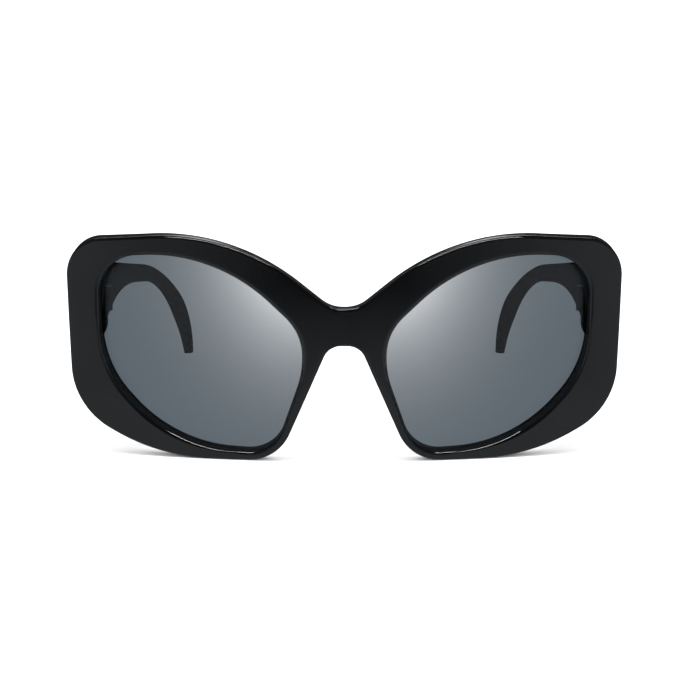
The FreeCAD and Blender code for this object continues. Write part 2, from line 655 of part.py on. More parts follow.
def make_temple(doc):
    """Makes the left temple where its plan and its side view meet, with rounded long edges."""
    plan = doc.addObject("Sketcher::SketchObject", "TemplePlan")
    draw_plan(plan)
    side = doc.addObject("Sketcher::SketchObject", "TempleSide")
    side.Placement = Placement(Vector(), SIDEWAYS)
    draw_outline(side, TEMPLE_SIDE)
    doc.recompute()
    height = f"{TEMPLE_TOP} + Sizes.overshoot"
    upright = prism(doc, "TempleUpright", plan, height, "Sizes.overshoot", along=UPWARDS)
    reach = f"{TEMPLE_X} + Sizes.temple_root + Sizes.overshoot"
    lying = prism(doc, "TempleLying", side, reach, "0", along=OUTWARDS)
    blank = boolean(doc, "Common", "TempleBlank", upright, lying)
    doc.recompute()
    end = blank.Shape.BoundBox.YMin
    skins = [Part.Compound(column.Shape.Faces) for column in (upright, lying)]

    def long_edge(edge):
        point = middle(edge)
        inside = point.y > end + TOUCH and point.z > TOUCH
        return inside and all(on_skin(edge, skin) for skin in skins)

    temple = round_edges(doc, "TempleRounded", blank, "Sizes.temple_round", long_edge)
    seat = hinge_leaf(doc, "LeafSeat", "Sizes.sink_clearance")
    temple = boolean(doc, "Cut", "TempleLessLeaf", temple, seat)
    bore = core_wire(doc, "WireBore", "Sizes.wire_radius + Sizes.sink_clearance")
    return boolean(doc, "Cut", "Temple", temple, bore)


def place(piece):
    """Moves a finished piece half the depth forward, into the part's frame."""
    drawn = dict(piece.ExpressionEngine).get(".Placement.Base.y", "0")
    bind(piece, Placement__Base__y=f"{drawn} - Sizes.overall_depth / 2")


def main():
    """Builds every piece, tests it and writes it to its own file."""
    doc = FreeCAD.newDocument("sunglasses")
    make_sheet(doc)
    opening = face_sketch(doc, "LensOpening", OPENING)
    nodes = {"front_frame": make_front(doc, opening)}
    pairs = {
        "lens": make_lens(doc, opening),
        "nose_pad": make_nose_pad(doc),
        "front_hinge": make_front_hinge(doc),
        "temple_hinge": make_temple_hinge(doc),
        "hinge_screw": make_screw(doc),
        "core_wire": core_wire(doc, "Wire", "Sizes.wire_radius"),
        "temple": make_temple(doc),
    }
    place(nodes["front_frame"])
    for name, piece in pairs.items():
        place(piece)
        nodes[f"{name}_left"] = piece
        nodes[f"{name}_right"] = mirror(doc, f"{piece.Name}Mirrored", piece)
    for name, piece in nodes.items():
        piece.Label = name
    doc.recompute()

    for item in doc.Objects:
        if "Invalid" in item.State or "Error" in item.State:
            raise RuntimeError(f"{item.Label} failed: {item.State}")
    for name, piece in nodes.items():
        if piece.Shape.isNull() or not piece.Shape.isValid():
            raise RuntimeError(f"{name} has no valid shape")
    os.makedirs("parts", exist_ok=True)
    for name, piece in nodes.items():
        piece.Shape.exportStep(os.path.join("parts", f"{name}.step"))
        print(f"{name}: {len(piece.Shape.Solids)} solid, {piece.Shape.Volume:.1f} mm3")


main()
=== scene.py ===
"""Oversized sunglasses in gloss black with smoke lenses, on a white studio table.

Sizes of the pieces are millimetres, drawn with the front's foremost point at depth 0; the place
function turns them into the frame's metres. Grains, reliefs and the studio are in metres. X runs
to the wearer's left, Y back, Z up.
"""
import bisect
import logging
import math
from dataclasses import dataclass, field
from enum import Enum
from typing import Any, Optional, Sequence, Union

import bpy
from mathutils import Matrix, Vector


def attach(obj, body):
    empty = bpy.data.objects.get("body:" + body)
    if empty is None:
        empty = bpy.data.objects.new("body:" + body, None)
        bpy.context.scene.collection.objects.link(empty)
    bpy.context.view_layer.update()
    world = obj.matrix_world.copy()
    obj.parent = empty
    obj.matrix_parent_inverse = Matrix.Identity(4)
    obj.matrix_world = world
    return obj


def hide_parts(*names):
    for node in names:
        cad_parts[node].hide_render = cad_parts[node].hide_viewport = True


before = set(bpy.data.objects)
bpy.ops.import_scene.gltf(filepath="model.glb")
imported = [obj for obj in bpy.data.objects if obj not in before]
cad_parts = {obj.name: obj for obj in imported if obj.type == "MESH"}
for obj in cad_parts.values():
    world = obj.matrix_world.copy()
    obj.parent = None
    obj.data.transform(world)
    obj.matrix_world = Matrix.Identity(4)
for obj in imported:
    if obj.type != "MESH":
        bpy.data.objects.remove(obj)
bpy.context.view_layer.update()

LOG = logging.getLogger("sunglasses")
MM = 0.001
FRONT_Y = -68.7

Flat = tuple[float, float]
Triple = tuple[float, float, float]
Colour = tuple[float, float, float, float]
Ring = list[Vector]


class Side(Enum):
    """The wearer's left or right, with the sign of X there."""

    LEFT = 1
    RIGHT = -1

    @property
    def label(self) -> str:
        """The side's name as the nodes have it."""
        return self.name.lower()


class Body(Enum):
    """The moving bodies that pieces ride on."""

    FRONT = "front"
    LEFT_ARM = "temple_arm_left"
    RIGHT_ARM = "temple_arm_right"

    @classmethod
    def arm(cls, side: Side) -> "Body":
        """The temple's body on one side."""
        return cls.LEFT_ARM if side is Side.LEFT else cls.RIGHT_ARM


class Slot(Enum):
    """The record's material slots of the new pieces."""

    FRAME = "frame"
    PAD = "pad"
    LENS = "lens"
    HINGE = "hinge"
    SCREW = "screw"


def place(x: float, depth: float, z: float) -> Vector:
    """Turns drawn millimetres into the frame's metres.

    Args:
        x: Distance to the wearer's left.
        depth: Distance behind the front's foremost point.
        z: Height above the table.

    Returns:
        The point in the frame.
    """
    return Vector((x, depth + FRONT_Y, z)) * MM


def between(a: Any, b: Any, share: float) -> Any:
    """Finds what lies part of the way from one thing to another.

    Args:
        a: A number, a vector or a tuple of numbers.
        b: Another of the same kind.
        share: How far along, from nought to one.

    Returns:
        The number, vector or tuple there.
    """
    if isinstance(a, tuple):
        return tuple(between(p, q, share) for p, q in zip(a, b))
    return a + (b - a) * share


# Shader expressions


class Value:
    """A socket's number, which Python's operators turn into Math nodes."""

    def __init__(self, graph: "Graph", socket: Optional[bpy.types.NodeSocket]) -> None:
        """Keeps the graph and the output socket.

        Args:
            graph: The node tree's builder.
            socket: The output that carries the number; a tree's last node has none.
        """
        self.graph = graph
        self.socket = socket

    def _math(self, operation: str, *numbers: Any) -> "Value":
        """Adds one Math node.

        Args:
            operation: The node's operation.
            numbers: Numbers or Values, in the order of its inputs.

        Returns:
            The result.
        """
        settings = {"operation": operation}
        return self.graph.node("ShaderNodeMath", settings, dict(enumerate(numbers)))

    def __abs__(self) -> "Value":
        """The number without its sign."""
        return self._math("ABSOLUTE", self)

    def __add__(self, other: Any) -> "Value":
        """Sum."""
        return self._math("ADD", self, other)

    def __radd__(self, other: Any) -> "Value":
        """Sum with a number on the left."""
        return self._math("ADD", other, self)

    def __sub__(self, other: Any) -> "Value":
        """Difference."""
        return self._math("SUBTRACT", self, other)

    def __rsub__(self, other: Any) -> "Value":
        """Difference from a number on the left."""
        return self._math("SUBTRACT", other, self)

    def __mul__(self, other: Any) -> "Value":
        """Product."""
        return self._math("MULTIPLY", self, other)

    def __rmul__(self, other: Any) -> "Value":
        """Product with a number on the left."""
        return self._math("MULTIPLY", other, self)

    def __truediv__(self, other: Any) -> "Value":
        """Quotient."""
        return self._math("DIVIDE", self, other)

    def __rtruediv__(self, other: Any) -> "Value":
        """Quotient of a number on the left."""
        return self._math("DIVIDE", other, self)

    def __or__(self, other: Any) -> "Value":
        """The larger of two numbers."""
        return self._math("MAXIMUM", self, other)


@dataclass(frozen=True)
class Grain:
    """A noise pattern: cycles per metre, octaves, and scale along each axis."""

    scale: float
    octaves: float
    stretch: Triple = (1.0, 1.0, 1.0)


class Graph:
    """Builds the nodes of one material or world."""

    NOISE_MIDDLE = (0.3, 0.7)

    def __init__(self, tree: bpy.types.NodeTree) -> None:
        """Empties the tree.

        Args:
            tree: The node tree to fill.
        """
        self.tree = tree
        tree.nodes.clear()

    def node(
        self,
        kind: str,
        settings: Optional[dict[str, Any]] = None,
        sockets: Optional[dict[Union[str, int], Any]] = None,
        out: Union[str, int] = 0,
    ) -> Value:
        """Adds any node.

        Args:
            kind: The node's type.
            settings: Its properties, set first.
            sockets: Values, or links as Value, by socket name or number.
            out: The output to return.

        Returns:
            The chosen output.
        """
        node = self.tree.nodes.new(kind)
        for name, setting in (settings or {}).items():
            setattr(node, name, setting)
        for name, value in (sockets or {}).items():
            if isinstance(value, Value):
                self.tree.links.new(value.socket, node.inputs[name])
            else:
                node.inputs[name].default_value = value
        return Value(self, node.outputs[out] if node.outputs else None)

    def spot(self) -> Value:
        """The point in Object coordinates."""
        return self.node("ShaderNodeTexCoord", out="Object")

    def length(self, vector: Value) -> Value:
        """The length of a vector."""
        settings = {"operation": "LENGTH"}
        return self.node("ShaderNodeVectorMath", settings, {0: vector}, out="Value")

    def noise(self, grain: Grain) -> Value:
        """Adds noise on Object coordinates.

        Args:
            grain: Its pattern.

        Returns:
            The noise, from nought to one.
        """
        stretched = self.node(
            "ShaderNodeMapping", sockets={"Vector": self.spot(), "Scale": grain.stretch}
        )
        return self.node(
            "ShaderNodeTexNoise",
            sockets={"Vector": stretched, "Scale": grain.scale, "Detail": grain.octaves},
        )

    def spread(self, noise: Value, target: Flat = (0.0, 1.0)) -> Value:
        """Maps the middle of a noise onto a range."""
        return self.ramp(noise, self.NOISE_MIDDLE, target)

    def ramp(self, value: Value, source: Flat, target: Flat) -> Value:
        """Maps one range onto another and stops at its ends."""
        ends = dict(zip(("From Min", "From Max", "To Min", "To Max"), (*source, *target)))
        return self.node("ShaderNodeMapRange", {"clamp": True}, {"Value": value, **ends})

    def rays(self, kind: str) -> Value:
        """One for rays of a kind, such as Camera or Glossy, else nought."""
        return self.node("ShaderNodeLightPath", out=f"Is {kind} Ray")

    def mix_shader(self, factor: Value, first: Value, second: Value) -> Value:
        """Mixes two shaders; the factor is the share of the second."""
        return self.node("ShaderNodeMixShader", sockets={0: factor, 1: first, 2: second})

    def mix(self, factor: Value, first: Colour, second: Colour) -> Value:
        """Mixes two colours; the factor is the share of the second."""
        sockets = {0: factor, 6: first, 7: second}
        return self.node("ShaderNodeMix", {"data_type": "RGBA"}, sockets, out=2)

    def bump(self, relief: Value, strength: float, height: float) -> Value:
        """Turns a relief, whose height is in metres, into a normal."""
        sockets = {"Height": relief, "Strength": strength, "Distance": height}
        return self.node("ShaderNodeBump", sockets=sockets)

    def principled(self, sockets: dict[str, Any]) -> Value:
        """Adds the shader of a finish."""
        return self.node("ShaderNodeBsdfPrincipled", sockets=sockets)

    def surface(self, shader: Value, kind: str = "ShaderNodeOutputMaterial") -> None:
        """Ends the tree in its output."""
        self.node(kind, sockets={"Surface": shader})


@dataclass(frozen=True)
class Finish:
    """A finish that a piece is dressed in."""

    name: str

    def shader(self, graph: Graph) -> Value:
        """Builds the nodes; each finish has its own."""
        raise NotImplementedError

    def material(self) -> bpy.types.Material:
        """Gives the finish's material, made once.

        Returns:
            The material.
        """
        made = bpy.data.materials.get(self.name)
        if made is None:
            made = bpy.data.materials.new(self.name)
            made.use_nodes = True
            graph = Graph(made.node_tree)
            graph.surface(self.shader(graph))
        return made

    def dress(self, piece: bpy.types.Object) -> None:
        """Puts the finish on a piece in place of what it had."""
        piece.data.materials.clear()
        piece.data.materials.append(self.material())


@dataclass(frozen=True)
class PolishedAcetate(Finish):
    """Black acetate, tumbled and buffed to a deep gloss."""

    name: str = "polished_black_acetate"
    dark: Colour = (0.0006, 0.0006, 0.0007, 1)
    pale: Colour = (0.0014, 0.0015, 0.0017, 1)
    cloud: Grain = Grain(55.0, 3.0)
    roughness: Flat = (0.045, 0.095)
    haze: Grain = Grain(240.0, 4.0)
    haze_share: float = 0.7
    buffing: Grain = Grain(900.0, 2.0, (1.0, 1.0, 0.12))
    buffing_share: float = 0.3
    ior: float = 1.49
    ripple: Grain = Grain(160.0, 1.0)
    ripple_strength: float = 0.5
    ripple_height: float = 0.000004

    def shader(self, graph: Graph) -> Value:
        """Cloudy depth, faint buffing haze and the slow ripple of a hand-polished surface.

        Args:
            graph: The material's builder.

        Returns:
            The shader.
        """
        cloud = graph.spread(graph.noise(self.cloud))
        haze, buffing = graph.noise(self.haze), graph.noise(self.buffing)
        dull = haze * self.haze_share + buffing * self.buffing_share
        ripple = graph.noise(self.ripple)
        return graph.principled(
            {
                "Base Color": graph.mix(cloud, self.dark, self.pale),
                "Roughness": graph.spread(dull, self.roughness),
                "IOR": self.ior,
                "Normal": graph.bump(ripple, self.ripple_strength, self.ripple_height),
            }
        )


@dataclass(frozen=True)
class RawAcetate(Finish):
    """Black acetate as the cutter leaves it, where no buffing wheel reaches."""

    name: str = "raw_black_acetate"
    dark: Colour = (0.0004, 0.0004, 0.0005, 1)
    pale: Colour = (0.0010, 0.0010, 0.0012, 1)
    marks: Grain = Grain(1400.0, 3.0, (1.0, 0.15, 1.0))
    mark_strength: float = 0.3
    mark_height: float = 0.000008
    roughness: Flat = (0.55, 0.65)
    ior: float = 1.2

    def shader(self, graph: Graph) -> Value:
        """Matte black with fine cutter marks.

        Args:
            graph: The material's builder.

        Returns:
            The shader.
        """
        marks = graph.noise(self.marks)
        return graph.principled(
            {
                "Base Color": graph.mix(graph.spread(marks), self.dark, self.pale),
                "Roughness": graph.spread(marks, self.roughness),
                "IOR": self.ior,
                "Normal": graph.bump(marks, self.mark_strength, self.mark_height),
            }
        )


@dataclass(frozen=True)
class SmokeLens(Finish):
    """Smoke-grey polycarbonate lens, its tint made paler towards the bridge as a painted
    highlight.
    """

    name: str = "smoke_grey_lens"
    dense: Colour = (0.088, 0.112, 0.133, 1)
    # The pale colour is the tint inside the painted highlight, a soft light's reflection painted
    # into the lens.
    pale: Colour = (0.688, 0.712, 0.733, 1)
    palest_at: Flat = (9.7, 62.5)
    reach: Flat = (20.0, 26.0)
    full: float = 0.414
    dye: Grain = Grain(28.0, 2.0)
    dye_range: Flat = (0.98, 1.02)
    ior: float = 1.2
    coat: Grain = Grain(75.0, 2.0)
    coat_range: Flat = (0.9, 1.0)
    coat_haze: float = 0.3
    coat_ior: float = 1.3

    def shader(self, graph: Graph) -> Value:
        """Tinted glass under a hard coat; a painted highlight pales the tint near a point above
        the nasal edge and fades away from it.

        Args:
            graph: The material's builder.

        Returns:
            The shader.
        """
        # Painted highlight: the tint pales near a point above each lens's nasal edge, mirrored to
        # both lenses and slightly mottled.
        folded = graph.node("ShaderNodeVectorMath", {"operation": "ABSOLUTE"}, {0: graph.spot()})
        (x, z), (wide, high) = self.palest_at, self.reach
        from_highlight = graph.node(
            "ShaderNodeMapping",
            sockets={
                "Vector": folded,
                "Location": (-x / wide, 0.0, -z / high),
                "Scale": (1 / (wide * MM), 0.0, 1 / (high * MM)),
            },
        )
        away = graph.length(from_highlight)
        fade = 1.0 / (1.0 + away * away)
        highlight_unevenness = graph.spread(graph.noise(self.dye), self.dye_range)
        share = graph.ramp(fade * fade * highlight_unevenness, (0.0, self.full), (0.0, 1.0))
        return graph.principled(
            {
                "Base Color": graph.mix(share, self.dense, self.pale),
                "Roughness": 0.0,
                "IOR": self.ior,
                "Transmission Weight": 1.0,
                "Coat Weight": graph.spread(graph.noise(self.coat), self.coat_range),
                "Coat Roughness": self.coat_haze,
                "Coat IOR": self.coat_ior,
            }
        )


@dataclass(frozen=True)
class BrushedSteel(Finish):
    """Smoked steel, brushed along one direction."""

    name: str = "brushed_hinge_steel"
    dark: Colour = (0.17, 0.17, 0.17, 1)
    pale: Colour = (0.30, 0.30, 0.30, 1)
    lines: Grain = Grain(5200.0, 4.0, (1.0, 0.08, 1.0))
    line_share: float = 0.6
    line_strength: float = 0.35
    line_height: float = 0.00001
    stain: Grain = Grain(700.0, 3.0)
    stain_share: float = 0.4
    roughness: Flat = (0.22, 0.40)

    def shader(self, graph: Graph) -> Value:
        """Fine brush lines in colour, roughness and relief.

        Args:
            graph: The material's builder.

        Returns:
            The shader.
        """
        lines, stain = graph.noise(self.lines), graph.noise(self.stain)
        tone = graph.spread(lines * self.line_share + stain * self.stain_share)
        return graph.principled(
            {
                "Base Color": graph.mix(tone, self.dark, self.pale),
                "Metallic": 1.0,
                "Roughness": graph.spread(lines, self.roughness),
                "Normal": graph.bump(lines, self.line_strength, self.line_height),
            }
        )


# Outlines


@dataclass(frozen=True)
class Corner:
    """A corner of a flat outline and the radius that rounds it."""

    x: float
    z: float
    radius: float


@dataclass(frozen=True)
class Spot:
    """A point of an outline and the direction that leads out of it."""

    x: float
    z: float
    out_x: float
    out_z: float

    def moved(self, distance: float) -> Flat:
        """The point a distance further out."""
        return self.x + self.out_x * distance, self.z + self.out_z * distance


class Path:
    """A line through rounded corners, walked with the shape on its left."""

    STEP = 0.1
    TINY = 1e-9

    def __init__(self, start: Flat, corners: Sequence[Corner], end: Flat) -> None:
        """Walks the line and notes where each rounding starts and ends.

        Args:
            start: First point.
            corners: The corners in order.
            end: Last point.
        """
        self.spots: list[Spot] = []
        self.walked: list[float] = []
        self.marks: list[Flat] = []
        points = [start, *((c.x, c.z) for c in corners), end]
        here = start
        for before, corner, after in zip(points, corners, points[2:]):
            heading = math.atan2(corner.z - before[1], corner.x - before[0])
            leaving = math.atan2(after[1] - corner.z, after[0] - corner.x)
            turn = (leaving - heading + math.pi) % math.tau - math.pi
            reach = corner.radius * abs(math.tan(turn / 2))
            first = (corner.x - reach * math.cos(heading), corner.z - reach * math.sin(heading))
            self._straight(here, first)
            begun = self.walked[-1]
            here = self._round(first, heading, turn, corner.radius)
            self.marks.append((begun, self.walked[-1]))
        self._straight(here, end)

    @property
    def length(self) -> float:
        """The whole walk."""
        return self.walked[-1]

    def _add(self, x: float, z: float, heading: float) -> None:
        """Adds one spot.

        Args:
            x: Across.
            z: Up.
            heading: Direction of the walk.
        """
        if self.spots:
            last = self.spots[-1]
            self.walked.append(self.walked[-1] + math.hypot(x - last.x, z - last.z))
        else:
            self.walked.append(0.0)
        self.spots.append(Spot(x, z, math.sin(heading), -math.cos(heading)))

    def _straight(self, start: Flat, end: Flat) -> None:
        """Walks a straight run.

        Args:
            start: Where it begins.
            end: Where it ends.
        """
        run = math.dist(start, end)
        if run < self.TINY:
            return
        heading = math.atan2(end[1] - start[1], end[0] - start[0])
        count = max(1, math.ceil(run / self.STEP))
        for number in range(count + 1):
            self._add(*between(start, end, number / count), heading)

    def _round(self, start: Flat, heading: float, turn: float, radius: float) -> Flat:
        """Walks an arc.

        Args:
            start: Where it begins.
            heading: Direction there.
            turn: Angle turned, positive to the left.
            radius: Radius of the arc.

        Returns:
            Where it ends.
        """
        reach = math.copysign(radius, turn)
        centre = (start[0] - reach * math.sin(heading), start[1] + reach * math.cos(heading))
        count = max(2, math.ceil(abs(turn) * radius / self.STEP))
        x, z = start
        for number in range(count + 1):
            angle = heading + turn * number / count
            x = centre[0] + reach * math.sin(angle)
            z = centre[1] - reach * math.cos(angle)
            self._add(x, z, angle)
        return x, z

    def at(self, walked: float) -> Spot:
        """Finds the spot after a walk; a closed line may be walked on past its end.

        Args:
            walked: Distance from the start.

        Returns:
            The spot there.
        """
        walked = walked % self.length if walked > self.length else walked
        after = min(max(bisect.bisect_right(self.walked, walked), 1), len(self.spots) - 1)
        a, b = self.spots[after - 1], self.spots[after]
        begun = self.walked[after - 1]
        gap = self.walked[after] - begun
        share = (walked - begun) / gap if gap > self.TINY else 0.0
        x, z = between((a.x, a.z), (b.x, b.z), share)
        out_x, out_z = between((a.out_x, a.out_z), (b.out_x, b.out_z), share)
        size = math.hypot(out_x, out_z)
        return Spot(x, z, out_x / size, out_z / size)


@dataclass(frozen=True)
class Dome:
    """A part of a ball that bulges forwards."""

    radius: float
    apex: float
    height: float = 31.0

    def depth(self, x: float, z: float) -> float:
        """Depth of the dome at a point across and up."""
        across = self.radius**2 - x * x - (z - self.height) ** 2
        return self.apex + self.radius - math.sqrt(across)

    def point(self, flat: Flat) -> Vector:
        """The point of the dome in the frame."""
        return place(flat[0], self.depth(*flat), flat[1])


def rounding(start: Vector, corner: Vector, end: Vector, steps: int) -> Ring:
    """Rounds a corner with an arc between two points beside it.

    Args:
        start: Point on the first side.
        corner: The sharp corner.
        end: Point on the second side.
        steps: Number of segments.

    Returns:
        The arc's points, both ends among them.
    """
    pull = math.sin((start - corner).angle(end - corner, math.pi / 2) / 2)
    arc = []
    for number in range(steps + 1):
        t = number / steps
        a, b, c = (1 - t) ** 2, 2 * t * (1 - t) * pull, t * t
        arc.append((start * a + corner * b + end * c) / (a + b + c))
    return arc


class Bench:
    """Modelling steps that the pieces share, each done with Blender's operators."""

    MERGE = 0.000002
    CAD_MERGE = 0.000001

    @staticmethod
    def clear() -> None:
        """Leaves edit mode and deselects everything."""
        if bpy.context.mode != "OBJECT":
            bpy.ops.object.mode_set(mode="OBJECT")
        bpy.ops.object.select_all(action="DESELECT")

    @classmethod
    def take(cls, piece: bpy.types.Object) -> None:
        """Makes a piece the only selected one.

        Args:
            piece: The piece.
        """
        cls.clear()
        piece.select_set(True)
        bpy.context.view_layer.objects.active = piece

    @classmethod
    def edit(cls, piece: bpy.types.Object, select: str = "DESELECT") -> None:
        """Opens a piece in edit mode.

        Args:
            piece: The piece.
            select: What select_all does to its mesh.
        """
        cls.take(piece)
        bpy.ops.object.mode_set(mode="EDIT")
        bpy.ops.mesh.select_mode(type="VERT")
        bpy.ops.mesh.select_all(action=select)

    @classmethod
    def roll(cls, name: str, rows: Sequence[Ring]) -> bpy.types.Object:
        """Adds a grid and lays its rows along rings of points.

        Args:
            name: Name of the piece.
            rows: Rings with as many points each.

        Returns:
            The piece, its seams still open.
        """
        cls.clear()
        bpy.ops.mesh.primitive_grid_add(
            x_subdivisions=len(rows[0]) - 1, y_subdivisions=len(rows) - 1, size=1.0
        )
        piece = bpy.context.object
        piece.name = name
        piece.data.name = name
        points = [point for row in rows for point in row]
        for vertex, point in zip(piece.data.vertices, points):
            vertex.co = point
        return piece

    @classmethod
    def close(cls, piece: bpy.types.Object, cap: bool = False) -> None:
        """Merges the seams, caps open ends if asked and turns the faces outwards.

        Args:
            piece: The piece.
            cap: Whether open ends get a face.
        """
        cls.edit(piece, "SELECT")
        bpy.ops.mesh.remove_doubles(threshold=cls.MERGE)
        if cap:
            bpy.ops.mesh.fill_holes(sides=0)
        bpy.ops.mesh.select_all(action="SELECT")
        bpy.ops.mesh.normals_make_consistent(inside=False)
        bpy.ops.object.mode_set(mode="OBJECT")

    @classmethod
    def modify(cls, piece: bpy.types.Object, kind: str, **settings: Any) -> None:
        """Adds a modifier and applies it.

        Args:
            piece: The piece.
            kind: The modifier's type.
            settings: Its properties.
        """
        cls.take(piece)
        modifier = piece.modifiers.new(kind.lower(), kind)
        for name, setting in settings.items():
            setattr(modifier, name, setting)
        bpy.ops.object.modifier_apply(modifier=modifier.name)

    @classmethod
    def polish(cls, piece: bpy.types.Object, sharp: float) -> None:
        """Shades smooth up to an angle, with the broad faces leading.

        Args:
            piece: The piece.
            sharp: Edges sharper than this stay sharp, in degrees.
        """
        cls.take(piece)
        bpy.ops.object.shade_smooth_by_angle(angle=math.radians(sharp))
        cls.modify(piece, "WEIGHTED_NORMAL", mode="FACE_AREA", weight=100, keep_sharp=True)

    @classmethod
    def twin(cls, source: bpy.types.Object, name: str) -> bpy.types.Object:
        """Copies an object with its own mesh.

        Args:
            source: The object.
            name: Name of the copy.

        Returns:
            The copy.
        """
        cls.take(source)
        bpy.ops.object.duplicate(linked=False)
        copy = bpy.context.object
        copy.name = name
        copy.data.name = name
        return copy

    @classmethod
    def pair(cls, left: bpy.types.Object, name: str) -> list[tuple[Side, bpy.types.Object]]:
        """Mirrors a left piece to the right.

        Args:
            left: The piece on the left.
            name: Name of the right one.

        Returns:
            Both sides with their pieces.
        """
        right = cls.twin(left, name)
        for vertex in right.data.vertices:
            vertex.co.x = -vertex.co.x
        cls.edit(right, "SELECT")
        bpy.ops.mesh.flip_normals()
        bpy.ops.object.mode_set(mode="OBJECT")
        return [(Side.LEFT, left), (Side.RIGHT, right)]

    @classmethod
    def copied(cls, node: str, name: str) -> bpy.types.Object:
        """Copies a CAD node and merges its loose triangles.

        Args:
            node: The node.
            name: Name of the copy.

        Returns:
            The copy, closed.
        """
        copy = cls.twin(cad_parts[node], name)
        cls.edit(copy, "SELECT")
        bpy.ops.mesh.remove_doubles(threshold=cls.CAD_MERGE)
        bpy.ops.object.mode_set(mode="OBJECT")
        return copy


def settle(piece: bpy.types.Object, body: Body, slot: Slot, *nodes: str) -> None:
    """Ties a finished piece to its body, hides the nodes that it stands for, and logs it.

    Args:
        piece: The piece.
        body: The body that it moves with.
        slot: The record's slot of its finish; not used.
        nodes: The CAD nodes that it stands for.
    """
    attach(piece, body.value)
    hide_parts(*nodes)
    LOG.info("%s: %d faces on %s", piece.name, len(piece.data.polygons), body.value)


# Sub-assemblies


